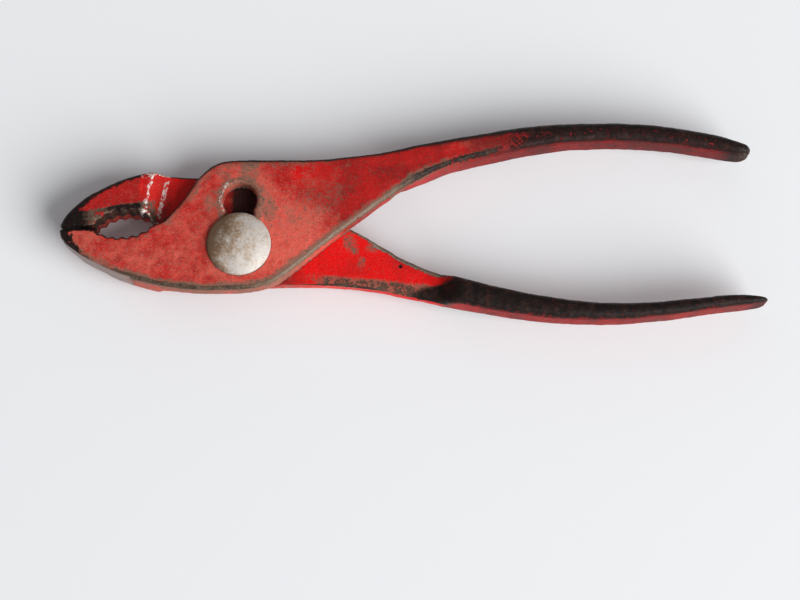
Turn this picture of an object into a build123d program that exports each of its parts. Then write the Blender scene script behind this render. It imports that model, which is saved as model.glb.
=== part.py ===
from build123d import *
import math
import os

# Slip-joint combination pliers, about 165 mm long, drop forged in two halves.
# Each half runs from one jaw, through a flat lap at the joint, to the handle on the other side.
# A domed bolt keyed by two flats passes through a two-position slot in the front half and a round
# bore in the rear half, and a hexagon nut holds it from behind.
#
# Frame: millimetres, +X from the joint towards the handles, +Z along the pivot axis out of the
# domed head. The origin is on the pivot axis, in the outer face of the nut that the pliers lie on.
# Outlines are laid out about the pivot axis with z = 0 in the plane between the two laps, and
# every finished piece is then lifted to the frame.

# ---- Joint ------------------------------------------------------------------------------------
LAP = 4.75            # thickness of each half at the joint
LAP_GAP = 0.10        # running gap between the two lap faces
PIN_R = 3.90          # round shank of the bolt
BORE_FIT = 0.05       # radial running clearance of the shank in the rear half
SLOT_FIT = 0.10       # radial clearance of the shank in each end of the slot
SLIP = 11.0           # distance between the two positions of the slot
WAIST = 6.5           # width of the slot between its two round ends
FLAT_FIT = 0.15       # clearance of each flat of the shank in the waist
RIM = 0.6             # chamfer round the mouth of the slot
AXIAL_FIT = 0.05      # play under the bolt's head and under the nut

# ---- Bolt and nut -----------------------------------------------------------------------------
HEAD_R = 7.5          # domed head
HEAD_EDGE = 0.7       # straight edge below the dome
HEAD_RISE = 2.7       # whole height of the head
THREAD_R = 3.175      # quarter-inch thread
NUT_FLATS = 11.1      # across the flats of the nut
NUT_T = 3.0           # thickness of the nut
NUT_BEVEL = 0.6       # bevel of the nut's corners
NUT_FIT = 0.02        # radial gap between the thread and the nut
END_INSET = 0.25      # depth of the bolt's staked end below the nut's face
END_BEVEL = 0.5       # chamfer of the threaded end

# ---- Jaws -------------------------------------------------------------------------------------
JAW_REACH = 42.4      # pivot axis to the nose
JAW_ROOT = 18.7       # pivot axis to the heel where the jaws part from the laps
NOSE_Z = 3.5          # half thickness at the nose
NOSE_TAPER = 20.0     # length over which the jaws thin towards the nose
SPLIT_Y = 4.2         # line on which the flat ends of the jaws meet
HEEL_Y = 5.4          # line on which the two heels meet
JAW_GAP = 0.30        # gap between the closed jaws
GRIP_START = 34.0     # pivot axis to the front of the curved pipe grip
GRIP_END = 21.3       # pivot axis to the back of it
GRIP_LOW = 2.2        # lowest point of the pipe grip, in the lower jaw
GRIP_HIGH = 7.9       # highest point of it, in the upper jaw
GRIP_LOW_X = 28.2
GRIP_HIGH_X = 26.2
COARSE_PITCH = 2.25   # teeth of the pipe grip
COARSE_DEPTH = 0.85
FINE_PITCH = 1.2      # teeth of the flat ends
FINE_DEPTH = 0.42
TOOTH_LAND = 0.2      # flat left on each crest
NOSE_LAND = 0.8       # plain stretch left at the nose

# ---- Steps that the opposite lap turns in -------------------------------------------------------
STEP_X = 18.9         # pivot axis to the foot of the step, just past the heel
STEP_LEAN = 11.7      # lean of the step's foot from the Y axis, in degrees
STEP_RUN = 3.2        # how far the step slopes back over its height
STEP_FOOT_R = 0.8     # fillet along the step's foot

# ---- Handles ----------------------------------------------------------------------------------
ROOT_X = 36.0         # where the handles begin
FRONT_REACH = 120.5   # pivot axis to the end of the front half's handle
REAR_REACH = 123.4    # pivot axis to the end of the rear half's handle
HANDLE_Z = 4.75       # half depth of the handles
HANDLE_R = 1.95       # rounding of the handles' long edges
END_ROUND = 3.2       # length over which a handle's end is rounded off
EDGE_R = 1.1          # rounding of the forging's outer edges
JOIN = 1.5            # length of the handle's bar that runs inside the lap
JOIN_INSET = 0.12     # how far the bar lies inside the lap's skin there
RAMP_X = 46.8         # where the rear half's lap ends and its handle rises to full depth
RAMP_RUN = 5.2        # length of that rise

HALF_GAP = LAP_GAP / 2
FLOOR_TO_LAP = NUT_T + AXIAL_FIT + LAP      # the nut's outer face to the plane between the laps
PAST = 1.0                                  # how far a cutter or a blank runs past a face
FAR = 3 * LAP                               # reach of the lap pocket's cutter
BIG = 4 * JAW_REACH


def jaw_x(share):
    """Place along the jaw: 0 at the heel, 1 at the nose."""
    return -JAW_ROOT - share * (JAW_REACH - JAW_ROOT)


def handle_x(share, reach):
    """Place along a handle: 0 at its root, 1 at its end."""
    return ROOT_X + share * (reach - ROOT_X)


# Outlines in plan, each from the nose back to the handle's root.
# (share of the jaw's length, y)
LOWER_JAW_BACK = [(0.98, 1.9), (0.925, 0.3), (0.825, -1.7), (0.715, -3.45), (0.59, -4.95), (0.46, -6.5),
                  (0.285, -8.0), (0.14, -9.05)]
UPPER_JAW_BACK = [(0.975, 6.1), (0.935, 7.5), (0.845, 9.75), (0.735, 11.9), (0.59, 13.8), (0.43, 15.6),
                  (0.255, 17.0), (0.105, 17.7)]
# (x, y)
FRONT_LAP_LOW = [(-16.5, -10.2), (-9.0, -10.95), (-2.0, -10.95), (4.0, -10.4), (8.7, -8.8), (12.5, -6.0),
                 (18.0, -1.5), (24.0, 3.3)]
FRONT_LAP_TOP = [(-16.9, 7.2), (-13.2, 11.4), (-9.6, 16.6), (-5.6, 19.8), (0.0, 20.75), (9.0, 20.75), (20.0, 21.0)]
REAR_LAP_TOP = [(-16.0, 17.6), (-9.5, 17.3), (-2.0, 16.6), (6.0, 14.2), (16.0, 9.9), (25.0, 5.3)]
REAR_LAP_LOW = [(-16.9, 3.6), (-13.2, -0.6), (-9.4, -6.0), (-5.6, -8.5), (0.0, -9.0), (9.0, -8.8), (19.0, -8.75),
                (26.0, -9.2)]
# (share of the handle's length, lower edge, upper edge, share of the full depth on the lap's side)
FRONT_HANDLE = [(0.000, 11.7, 23.4, 0.00), (0.035, 13.9, 24.1, 0.20), (0.080, 16.1, 24.9, 0.78),
                (0.150, 18.75, 26.0, 1.00), (0.240, 20.75, 27.4, 1.00), (0.360, 23.0, 29.1, 1.00),
                (0.480, 24.6, 29.9, 1.00), (0.600, 25.1, 30.1, 1.00), (0.720, 24.75, 29.7, 1.00),
                (0.840, 23.55, 28.2, 1.00), (0.920, 22.4, 26.75, 1.00), (0.965, 22.0, 25.4, 1.00)]
REAR_HANDLE = [(0.000, -10.9, -0.55, 1.00), (0.035, -11.6, -2.4, 1.00), (0.080, -12.4, -4.1, 1.00),
               (0.150, -13.7, -6.5, 1.00), (0.240, -15.2, -8.75, 1.00), (0.360, -16.85, -11.1, 1.00),
               (0.480, -17.75, -12.75, 1.00), (0.600, -17.75, -13.4, 1.00), (0.720, -16.9, -13.05, 1.00),
               (0.840, -15.4, -11.95, 1.00), (0.920, -14.5, -11.5, 1.00), (0.965, -13.95, -11.8, 1.00)]
# How a handle's end closes: (share of END_ROUND from the end, share of the width, share of the depth)
HANDLE_END = [(0.30, 0.80, 0.90), (0.00, 0.34, 0.62)]


def prism(edges, low, high):
    """Solid over a closed plan outline, from one height to another."""
    return Pos(0, 0, low) * extrude(make_face(edges), high - low)


def jaw_line(side):
    """Working line of one jaw from nose to heel, before its teeth: side is -1 for the lower jaw."""
    half = side * JAW_GAP / 2
    nose = (-JAW_REACH, SPLIT_Y + half)
    front = (-GRIP_START, SPLIT_Y + half)
    belly = (-GRIP_LOW_X, GRIP_LOW) if side < 0 else (-GRIP_HIGH_X, GRIP_HIGH)
    back = (-GRIP_END, HEEL_Y + side * (1.1 if side < 0 else 1.0))
    heel = (-JAW_ROOT, HEEL_Y + half)
    return nose, front, belly, back, heel


def groove(at, inward, pitch, depth):
    """V-shaped tooth gap through the jaw's whole thickness, with its mouth at a point of the working line."""
    half = (pitch - TOOTH_LAND) / 2
    mouth = 0.3
    slope = half / depth
    profile = Polyline((-half - mouth * slope, -mouth), (half + mouth * slope, -mouth), (0, depth), close=True)
    turn = math.degrees(math.atan2(inward[1], inward[0])) - 90
    return Pos(at[0], at[1], -FAR) * (Rot(0, 0, turn) * extrude(make_face(profile), 2 * FAR))


def teeth(side):
    """All tooth gaps of one jaw: fine ones on the flat end, coarse ones round the pipe grip."""
    nose, front, belly, back, heel = jaw_line(side)
    gaps = []
    count = int((JAW_REACH - GRIP_START - NOSE_LAND) / FINE_PITCH)
    for i in range(count):
        x = front[0] - (i + 0.5) * FINE_PITCH
        gaps.append(groove((x, front[1]), (0, side), FINE_PITCH, FINE_DEPTH))
    arc = ThreePointArc(front, belly, back)
    count = int(arc.length / COARSE_PITCH)
    for i in range(count):
        share = (i + 0.6) / count
        at = arc @ share
        tangent = arc % share
        inward = (-tangent.Y * side, tangent.X * side)
        gaps.append(groove((at.X, at.Y), inward, arc.length / count, COARSE_DEPTH))
    return gaps


def front_plan():
    """Plan outline of the front half without its handle: lower jaw, lap and shoulder."""
    nose, front, belly, back, heel = jaw_line(-1)
    low_root = (ROOT_X, FRONT_HANDLE[0][1])
    top_root = (ROOT_X, FRONT_HANDLE[0][2])
    low = [nose] + [(jaw_x(s), y) for s, y in LOWER_JAW_BACK] + FRONT_LAP_LOW + [low_root]
    top = [top_root] + FRONT_LAP_TOP[::-1] + [heel]
    return [Spline(*low), Line(low_root, top_root), Spline(*top), Line(heel, back),
            ThreePointArc(back, belly, front), Line(front, nose)]


def rear_plan():
    """Plan outline of the rear half without its handle: upper jaw, lap and shoulder."""
    nose, front, belly, back, heel = jaw_line(1)
    top_root = (ROOT_X, REAR_HANDLE[0][2])
    low_root = (ROOT_X, REAR_HANDLE[0][1])
    top = [nose] + [(jaw_x(s), y) for s, y in UPPER_JAW_BACK] + REAR_LAP_TOP + [top_root]
    low = [low_root] + REAR_LAP_LOW[::-1] + [heel]
    return [Spline(*top), Line(top_root, low_root), Spline(*low), Line(heel, back),
            ThreePointArc(back, belly, front), Line(front, nose)]


def side_envelope():
    """Side view of the jaws and laps: full thickness, thinning in a long arc towards the nose."""
    bend = -JAW_REACH + NOSE_TAPER
    drop = LAP - NOSE_Z
    radius = (NOSE_TAPER ** 2 + drop ** 2) / (2 * drop)
    mid_x = bend - NOSE_TAPER / 2
    mid_z = LAP - radius + math.sqrt(radius ** 2 - (NOSE_TAPER / 2) ** 2)
    nose_x = -JAW_REACH
    ahead = nose_x - PAST
    back = ROOT_X + PAST
    edges = [Line((ahead, NOSE_Z), (nose_x, NOSE_Z)), ThreePointArc((nose_x, NOSE_Z), (mid_x, mid_z), (bend, LAP)),
             Line((bend, LAP), (back, LAP)), Line((back, LAP), (back, -LAP)), Line((back, -LAP), (bend, -LAP)),
             ThreePointArc((bend, -LAP), (mid_x, -mid_z), (nose_x, -NOSE_Z)),
             Line((nose_x, -NOSE_Z), (ahead, -NOSE_Z)), Line((ahead, -NOSE_Z), (ahead, NOSE_Z))]
    return extrude(Plane.XZ * make_face(edges), BIG, both=True)


def lap_pocket(side):
    """Room cut beside the jaw for the other half's lap. side is -1 for the front half, whose lap lies above
    the parting plane and whose pocket opens downwards."""
    face = -side * HALF_GAP
    deep = side * FAR
    slope = STEP_RUN / LAP
    profile = Polyline((0, face), (-slope * FAR, deep), (BIG, deep), (BIG, face), close=True)
    face_2d = make_face(profile)
    foot = [v for v in face_2d.vertices() if abs(v.X) < 1e-6 and abs(v.Y - face) < 1e-6]
    face_2d = fillet(foot, STEP_FOOT_R)
    foot_y = HEEL_Y + side * 2.8
    tool = extrude(Plane.XZ * face_2d, BIG, both=True)
    return Pos(-STEP_X, foot_y, 0) * Rot(0, 0, -side * STEP_LEAN) * tool


def section(x, low, high, z_low, z_high, round_low, round_high):
    """Cross-section of a handle across X: a rectangle with its lower and upper corners rounded apart."""
    limit = 0.46 * min(high - low, z_high - z_low)
    a, b = min(round_low, limit), min(round_high, limit)
    c = 1 - math.sqrt(0.5)
    points = [
        Line((low + a, z_low), (high - a, z_low)),
        ThreePointArc((high - a, z_low), (high - a * c, z_low + a * c), (high, z_low + a)),
        Line((high, z_low + a), (high, z_high - b)),
        ThreePointArc((high, z_high - b), (high - b * c, z_high - b * c), (high - b, z_high)),
        Line((high - b, z_high), (low + b, z_high)),
        ThreePointArc((low + b, z_high), (low + b * c, z_high - b * c), (low, z_high - b)),
        Line((low, z_high - b), (low, z_low + a)),
        ThreePointArc((low, z_low + a), (low + a * c, z_low + a * c), (low + a, z_low)),
    ]
    return Plane(origin=(x, 0, 0), x_dir=(0, 1, 0), z_dir=(1, 0, 0)) * make_face(points)


def handle(stations, reach, side):
    """Handle lofted through its stations. side is -1 for the front half: its lap is above the parting plane,
    so it grows downwards to the full depth."""
    sections = []
    first, second = stations[0], stations[1]
    back = JOIN / (handle_x(second[0], reach) - handle_x(first[0], reach))
    start = (first[0] - back * second[0], first[1] - back * (second[1] - first[1]) + JOIN_INSET,
             first[2] - back * (second[2] - first[2]) - JOIN_INSET, first[3])
    for share, low, high, depth in [start] + stations[1:]:
        inset = JOIN_INSET if share < 0 else 0
        grown = max(0, share)
        round_full = EDGE_R + (HANDLE_R - EDGE_R) * min(1, grown / 0.24)
        round_lap = max(0.12, HANDLE_R * depth * min(1, grown / 0.15))
        near = -side * (HANDLE_Z - inset)
        far = -side * (HALF_GAP + inset) + side * depth * (HANDLE_Z + HALF_GAP)
        z_low, z_high = min(near, far), max(near, far)
        rounds = (round_lap, round_full) if side < 0 else (round_full, round_lap)
        sections.append(section(handle_x(share, reach), low, high, z_low, z_high, *rounds))
    before, last = stations[-2], stations[-1]
    step = last[0] - before[0]
    for near_end, wide, deep in HANDLE_END:
        x = reach - near_end * END_ROUND
        ahead = ((x - ROOT_X) / (reach - ROOT_X) - last[0]) / step
        low = last[1] + ahead * (last[1] - before[1]) * 0.6
        high = last[2] + ahead * (last[2] - before[2]) * 0.6
        middle, half = (low + high) / 2, wide * (high - low) / 2
        z = deep * HANDLE_Z
        sections.append(section(x, middle - half, middle + half, -z, z, HANDLE_R, HANDLE_R))
    return loft(sections)


def soften(body):
    """Round the forging's outer edges on both broad faces. The working line and the root stay square."""
    picked = []
    for edge in body.edges():
        middle = edge @ 0.5
        level = all(abs(p.Z) > NOSE_Z - 0.6 for p in (edge @ 0, middle, edge @ 1))
        on_root = abs(middle.X - ROOT_X) < 0.01
        on_nose = abs(middle.X + JAW_REACH) < 0.01
        on_grip = middle.X < -JAW_ROOT and GRIP_LOW - 0.1 < middle.Y < GRIP_HIGH + 0.1
        if level and edge.length > 1 and not (on_root or on_nose or on_grip):
            picked.append(edge)
    return fillet(picked, EDGE_R)


def half(plan, side, stations, reach, root_cut=None):
    """One forged half in plan and thickness, before its joint hole is cut."""
    blank = prism(plan, -LAP - PAST, LAP + PAST) & side_envelope()
    body = soften(blank - lap_pocket(side))
    bar = handle(stations, reach, side)
    if root_cut is not None:
        bar = bar - root_cut
    return body + bar - teeth(side)


def slot():
    """Two-position slot: a round end for each position, joined by the narrower waist."""
    depth = LAP + 2 * PAST
    end = extrude(Circle(PIN_R + SLOT_FIT), depth)
    waist = Pos(0, SLIP / 2) * extrude(Rectangle(WAIST, SLIP), depth)
    return Pos(0, 0, -PAST) * (end + Pos(0, SLIP) * end + waist)


def front_half():
    body = half(front_plan(), -1, FRONT_HANDLE, FRONT_REACH) - slot()
    within = SLIP + PIN_R + SLOT_FIT + 0.1
    rim = [e for e in body.edges()
           if abs((e @ 0.5).Z - LAP) < 0.01 and abs((e @ 0.5).X) < PIN_R + 0.2 and abs((e @ 0.5).Y) < within]
    return chamfer(rim, RIM)


def ramp_pocket():
    """What is cut off the rear handle's root, so that the lap runs on under the front half's handle."""
    floor, top = -HALF_GAP - 0.04, LAP + PAST
    side = make_face(Polyline((ROOT_X - 2 * JOIN, floor), (RAMP_X, floor), (RAMP_X + RAMP_RUN, top),
                              (ROOT_X - 2 * JOIN, top), close=True))
    return Pos(0, 40, 0) * extrude(Plane.XZ * side, 80)


def rear_half():
    bore = Pos(0, 0, -LAP - PAST) * extrude(Circle(PIN_R + BORE_FIT), LAP + 2 * PAST)
    return half(rear_plan(), 1, REAR_HANDLE, REAR_REACH, ramp_pocket()) - bore


def pivot_bolt():
    """Domed head, neck with two flats in the slot, round journal in the rear half, threaded end."""
    seat = LAP + AXIAL_FIT
    top = seat + HEAD_RISE
    edge = seat + HEAD_EDGE
    rise = top - edge
    radius = (HEAD_R ** 2 + rise ** 2) / (2 * rise)
    part_way = HEAD_R * 0.55
    on_dome = (part_way, 0, top - radius + math.sqrt(radius ** 2 - part_way ** 2))
    outline = [ThreePointArc((0, 0, top), on_dome, (HEAD_R, 0, edge)), Line((HEAD_R, 0, edge), (HEAD_R, 0, seat)),
               Line((HEAD_R, 0, seat), (0, 0, seat)), Line((0, 0, seat), (0, 0, top))]
    head = revolve(make_face(outline), Axis.Z)
    flats = Rectangle(WAIST - 2 * FLAT_FIT, 3 * PIN_R)
    neck = extrude(Circle(PIN_R) & flats, seat)
    journal = extrude(Circle(PIN_R), -seat)
    thread_end = -seat - NUT_T + END_INSET
    thread = Pos(0, 0, thread_end) * extrude(Circle(THREAD_R), -thread_end)
    thread = chamfer(thread.edges().group_by(Axis.Z)[0], END_BEVEL)
    return head + neck + journal + thread


def pivot_nut():
    """Hexagon nut on the back, with the corners of its outer face bevelled."""
    inner = -LAP - AXIAL_FIT
    outer = inner - NUT_T
    corner = NUT_FLATS / math.sqrt(3)
    blank = Pos(0, 0, outer) * extrude(RegularPolygon(corner, 6), NUT_T)
    turned = Pos(0, 0, outer) * extrude(Circle(corner), NUT_T)
    turned = chamfer(turned.edges().group_by(Axis.Z)[0], NUT_BEVEL, NUT_BEVEL * 1.6)
    bore = Pos(0, 0, outer - PAST) * extrude(Circle(THREAD_R + NUT_FIT), NUT_T + 2 * PAST)
    return (blank & turned) - bore


os.makedirs("parts", exist_ok=True)
pieces = {
    "front_half": front_half(),
    "rear_half": rear_half(),
    "pivot_bolt": pivot_bolt(),
    "pivot_nut": pivot_nut(),
}
for name, piece in pieces.items():
    export_step(Pos(0, 0, FLOOR_TO_LAP) * piece, f"parts/{name}.step")
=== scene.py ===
# %% [markdown]
# # Slip-joint pliers, forged and enamelled
# A pair of old slip-joint pliers has only four pieces: two forged halves that cross at a flat lap,
# a domed bolt and the nut behind it. The shapes come from a CAD model that is loaded as a fixed frame,
# so everything here is in metres and already in its place. What is left to make is what a forge, a paint
# pot and fifty years in a tool box add: softened edges, a parting line, pits, chipped red enamel and
# dark, handled steel.

# %% Load the frame
import bpy
import math
import numpy as np
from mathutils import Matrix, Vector
from mathutils.bvhtree import BVHTree


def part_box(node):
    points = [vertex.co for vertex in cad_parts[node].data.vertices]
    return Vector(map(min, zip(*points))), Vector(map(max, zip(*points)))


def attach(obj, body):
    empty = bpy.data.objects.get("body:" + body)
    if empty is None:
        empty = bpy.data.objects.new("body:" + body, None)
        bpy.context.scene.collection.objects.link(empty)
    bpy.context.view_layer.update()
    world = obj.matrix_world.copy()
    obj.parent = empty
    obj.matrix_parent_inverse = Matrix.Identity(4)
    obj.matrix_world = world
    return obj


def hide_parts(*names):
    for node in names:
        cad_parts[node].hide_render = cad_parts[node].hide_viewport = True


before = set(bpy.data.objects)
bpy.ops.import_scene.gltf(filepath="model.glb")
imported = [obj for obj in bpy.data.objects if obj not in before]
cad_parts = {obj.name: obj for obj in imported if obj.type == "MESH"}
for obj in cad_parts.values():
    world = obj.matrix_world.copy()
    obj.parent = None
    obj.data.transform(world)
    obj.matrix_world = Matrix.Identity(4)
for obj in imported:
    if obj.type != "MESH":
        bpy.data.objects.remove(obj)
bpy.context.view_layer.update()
MM = 0.001

# %% [markdown]
# ## Where the joint is
# The pivot axis is the Z axis of the frame, so the only heights to find are those of the laps.
# The rear half's lap ends where the front half's begins, halfway up the joint, and the bolt's and nut's
# boxes give the rest. Reading them from the frame keeps this file right when the CAD changes.

# %% Read the joint's heights
FRONT_LOW, FRONT_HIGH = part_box("front_half")
BOLT_LOW, BOLT_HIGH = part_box("pivot_bolt")
NUT_LOW, NUT_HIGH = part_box("pivot_nut")
LAP_Z = (FRONT_LOW.z + FRONT_HIGH.z) / 2
print("lap plane at", round(LAP_Z / MM, 2), "mm; bolt top at", round(BOLT_HIGH.z / MM, 2), "mm")


# %% [markdown]
# ## Helpers for working by hand
# Blender's operators act on whatever is selected, and the frame leaves its own nodes selected,
# so each step first clears the selection and then picks just one object. Modifiers are applied one by
# one, the way a modeller bakes each step in before the next.

# %% Selecting and applying
def take_up(piece):
    """Make one object the only selected and active one."""
    if bpy.context.mode != "OBJECT":
        bpy.ops.object.mode_set(mode="OBJECT")
    bpy.ops.object.select_all(action="DESELECT")
    piece.select_set(True)
    bpy.context.view_layer.objects.active = piece


def apply_modifier(piece, kind, **settings):
    """Add a modifier with its settings and apply it at once."""
    take_up(piece)
    step = piece.modifiers.new(kind.lower(), kind)
    for name, value in settings.items():
        setattr(step, name, value)
    bpy.ops.object.modifier_apply(modifier=step.name)


def points_of(piece):
    """The piece's vertices as an array, in millimetres."""
    flat = np.empty(len(piece.data.vertices) * 3, np.float32)
    piece.data.vertices.foreach_get("co", flat)
    return flat.reshape(-1, 3).astype(float) / MM


def normals_of(piece):
    flat = np.empty(len(piece.data.vertices) * 3, np.float32)
    piece.data.vertex_normals.foreach_get("vector", flat)
    return flat.reshape(-1, 3).astype(float)


def fade(value, low, high):
    """0 below low, 1 above high, with a soft turn between; low may be the larger of the two."""
    share = np.clip((value - low) / (high - low), 0, 1)
    return share * share * (3 - 2 * share)


# %% [markdown]
# ## Forging the two halves
# A drop-forged half has no sharp edges and no true planes: the hot steel stops short of the die's
# corners, the skin is slightly wavy, and a thin parting line runs round it where the two dies meet.
# Such a skin can be made by sculpting, or by laying a fine voxel mesh over the exact CAD shape and
# easing it with Smooth and Displace modifiers. The second way is used, because it keeps every measured
# outline to a few tenths of a millimetre. The lap faces and the slot must keep their fit, so they
# get no waviness: a vertex group holds the modifiers off them.

# %% A copy of a CAD half with an even, fine mesh
VOXEL = 0.27 * MM
MOST_TRIANGLES = 190000


def fine_copy(node, name):
    """Copy a CAD node, merge its loose triangles and lay an even voxel mesh over it."""
    piece = bpy.data.objects.new(name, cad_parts[node].data.copy())
    bpy.context.scene.collection.objects.link(piece)
    piece.data.materials.clear()
    take_up(piece)
    bpy.ops.object.mode_set(mode="EDIT")
    bpy.ops.mesh.select_all(action="SELECT")
    bpy.ops.mesh.remove_doubles(threshold=2e-6)
    bpy.ops.object.mode_set(mode="OBJECT")
    apply_modifier(piece, "REMESH", mode="VOXEL", voxel_size=VOXEL, use_smooth_shade=True)
    print(name, "has", len(piece.data.polygons), "faces after the remesh")
    return piece


front = fine_copy("front_half", "front_half_forging")
rear = fine_copy("rear_half", "rear_half_forging")


# %% [markdown]
# ## Which skin the die shaped
# Weights in a vertex group say how much each point may move. A point is left alone where it belongs to
# the joint: on a lap face, in the slot or in the bore.

# %% Vertex groups by place
SLOT_TOP = 11.0


def weigh(piece, name, weights):
    """Store one weight per point in a vertex group, in steps of a hundredth."""
    group = piece.vertex_groups.new(name=name)
    steps = np.round(np.clip(weights, 0, 1) * 50).astype(int)
    for step in range(1, 51):
        chosen = np.nonzero(steps == step)[0]
        if len(chosen):
            group.add(chosen.tolist(), step / 50, "REPLACE")
    return name


def away_from_joint(at):
    """1 on the forged skin, 0 on the lap faces, in the slot and in the bore."""
    off_lap = fade(np.abs(at[:, 2] - LAP_Z / MM), 0.15, 0.9)
    handle = fade(at[:, 0], 38, 42)
    nearest = np.clip(at[:, 1], 0, SLOT_TOP)
    off_slot = fade(np.hypot(at[:, 0], at[:, 1] - nearest), 4.3, 5.6)
    jaw = fade(-at[:, 0], 21.0, 23.0)
    return np.maximum(off_lap, np.maximum(handle, jaw)) * off_slot


for half in (front, rear):
    place = points_of(half)
    weigh(half, "skin", away_from_joint(place))
    print(half.name, "skin share:", round(float(away_from_joint(place).mean()), 2))

# %% [markdown]
# ## Easing and waving the skin
# The Smooth modifier rounds the edges a little further than the CAD fillet does. Two Displace
# modifiers then add the forging's unevenness: broad, shallow swells, and under them a finer grain like
# orange peel. Blender's Clouds texture is computed, so it needs no picture.

# %% Smooth and displace
def clouds(name, size, depth=2):
    """A procedural cloud texture whose swells are about size long."""
    texture = bpy.data.textures.new(name, "CLOUDS")
    texture.noise_scale = size
    texture.noise_depth = depth
    return texture


SWELL_DEPTH, SWELL_MIDDLE = 0.26 * MM, 0.85
PEEL_DEPTH, PEEL_MIDDLE = 0.14 * MM, 0.8
broad_swell = clouds("broad_swell", 5.0 * MM)
peel = clouds("orange_peel", 1.3 * MM, 3)
for half in (front, rear):
    place = points_of(half)
    weigh(half, "handle", fade(place[:, 0], 28, 36))
    grip = fade(place[:, 0], -37, -34) * fade(place[:, 0], -19, -22) * fade(place[:, 2], 9.0, 11.5)
    weigh(half, "grip", grip * fade(place[:, 1], -1, 1) * fade(place[:, 1], 11, 9))
    apply_modifier(half, "SMOOTH", factor=0.5, iterations=3)
    apply_modifier(half, "SMOOTH", factor=0.5, iterations=9, vertex_group="skin")
    apply_modifier(half, "SMOOTH", factor=0.5, iterations=22, vertex_group="grip")
    apply_modifier(half, "SMOOTH", factor=0.5, iterations=60, vertex_group="handle")
    weigh(half, "root", fade(place[:, 0], 30, 34) * fade(place[:, 0], 48, 42))
    apply_modifier(half, "SMOOTH", factor=0.5, iterations=80, vertex_group="root")
    apply_modifier(half, "DISPLACE", texture=broad_swell, texture_coords="LOCAL",
                   mid_level=SWELL_MIDDLE, strength=SWELL_DEPTH, vertex_group="skin")
    apply_modifier(half, "DISPLACE", texture=peel, texture_coords="LOCAL",
                   mid_level=PEEL_MIDDLE, strength=PEEL_DEPTH, vertex_group="skin")
    moved = np.linalg.norm(points_of(half) - place, axis=1)
    print(half.name, "skin moved by", round(float(moved.mean()), 3), "mm on average")

# %% [markdown]
# ## Parting line and burr
# Round the flanks of the handles runs the trimmed parting line, a low ridge with a ragged edge. It is
# raised by weights again: strongest in the parting plane, almost nothing 0.6 mm away from it. One small burr
# was left under the lower handle.

# %% Raise the parting line
PARTING_WIDTH = 0.32
PARTING_HEIGHT = 0.08 * MM
BURR_HEIGHT = 0.7 * MM
BURR_REACH = 0.75


def parting_weights(piece):
    at, facing = points_of(piece), normals_of(piece)
    near_plane = np.exp(-((at[:, 2] - LAP_Z / MM) / PARTING_WIDTH) ** 2)
    on_flank = fade(np.abs(facing[:, 2]), 0.6, 0.3)
    on_handle = fade(at[:, 0], 44, 50) * fade(at[:, 0], 118, 112)
    ragged = 0.65 + 0.35 * np.sin(at[:, 0] * 1.7 + 2 * np.sin(at[:, 0] * 0.43))
    return near_plane * on_flank * on_handle * ragged


BURR_AT = {"rear_half_forging": (57.0, -16.2, LAP_Z / MM - 0.8)}
for half in (front, rear):
    weigh(half, "parting", parting_weights(half))
    apply_modifier(half, "DISPLACE", mid_level=0.0, strength=PARTING_HEIGHT, vertex_group="parting")
    if half.name in BURR_AT:
        reach = np.linalg.norm(points_of(half) - np.array(BURR_AT[half.name]), axis=1)
        weigh(half, "burr", np.exp(-(reach / BURR_REACH) ** 2))
        apply_modifier(half, "DISPLACE", mid_level=0.0, strength=BURR_HEIGHT, vertex_group="burr")
    print(half.name, "box now", [round(side / MM, 2) for side in half.dimensions], "mm")

# %% [markdown]
# ## Thinning, if it is needed
# Each half is exported as a mesh file with a limit on its triangles. A Decimate modifier thins a mesh
# evenly and keeps its shape, so it is applied only to a half that has too many, and both are shaded smooth.

# %% Keep each half under the size its mesh file allows
for half in (front, rear):
    triangles = sum(len(p.vertices) - 2 for p in half.data.polygons)
    if triangles > MOST_TRIANGLES:
        apply_modifier(half, "DECIMATE", ratio=MOST_TRIANGLES / triangles)
    take_up(half)
    bpy.ops.object.shade_smooth()
    print(half.name, "ends with", sum(len(p.vertices) - 2 for p in half.data.polygons), "triangles")


# %% [markdown]
# ## Where the enamel has gone
# Wear is not random. Paint goes first from edges, then from where hands and pockets rub, and it stays in
# hollows. So each point of a half gets a few numbers, kept as attributes on its mesh: how convex it is,
# whether the other half covers it, how worn, how chalky and how brightly rubbed it is. Some of them also
# carry painted light: a painted pale sheen in the chalk, a painted highlight in the bright rubbing of edges,
# and painted shade in the grime on the far edges, beside the step and in the slot. The material reads them
# and only adds the fine, broken edge. Painting them by hand in vertex paint would do as well, but numbers
# worked out from place and shape stay right when the mesh changes.

# %% Convexity of the skin, by averaging neighbours
def eased(values, links, count, rounds):
    """Average each point's value with its neighbours', several times over."""
    a, b = links[:, 0], links[:, 1]
    degree = np.bincount(a, minlength=count) + np.bincount(b, minlength=count)
    degree = np.maximum(degree, 1)[:, None]
    for _ in range(rounds):
        total = np.empty_like(values)
        for k in range(values.shape[1]):
            total[:, k] = (np.bincount(a, values[b, k], count) + np.bincount(b, values[a, k], count))
        values = 0.5 * values + 0.5 * total / degree
    return values


def convexity(piece, rounds):
    """How far each point stands out of its eased surroundings, in millimetres."""
    at = points_of(piece)
    links = np.empty(len(piece.data.edges) * 2, np.int32)
    piece.data.edges.foreach_get("vertices", links)
    smooth = eased(at, links.reshape(-1, 2), len(at), rounds)
    return np.einsum("ij,ij->i", at - smooth, normals_of(piece))


# %% [markdown]
# ## What lies under cover
# Paint is rubbed off where the other half or the bolt's head slides over it. A short ray from each
# point along its normal finds out: if it meets the neighbour within a third of a millimetre, the point is
# covered. Baking contact by eye would take a brush and patience, and a ray doesn't miss a spot.

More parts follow.
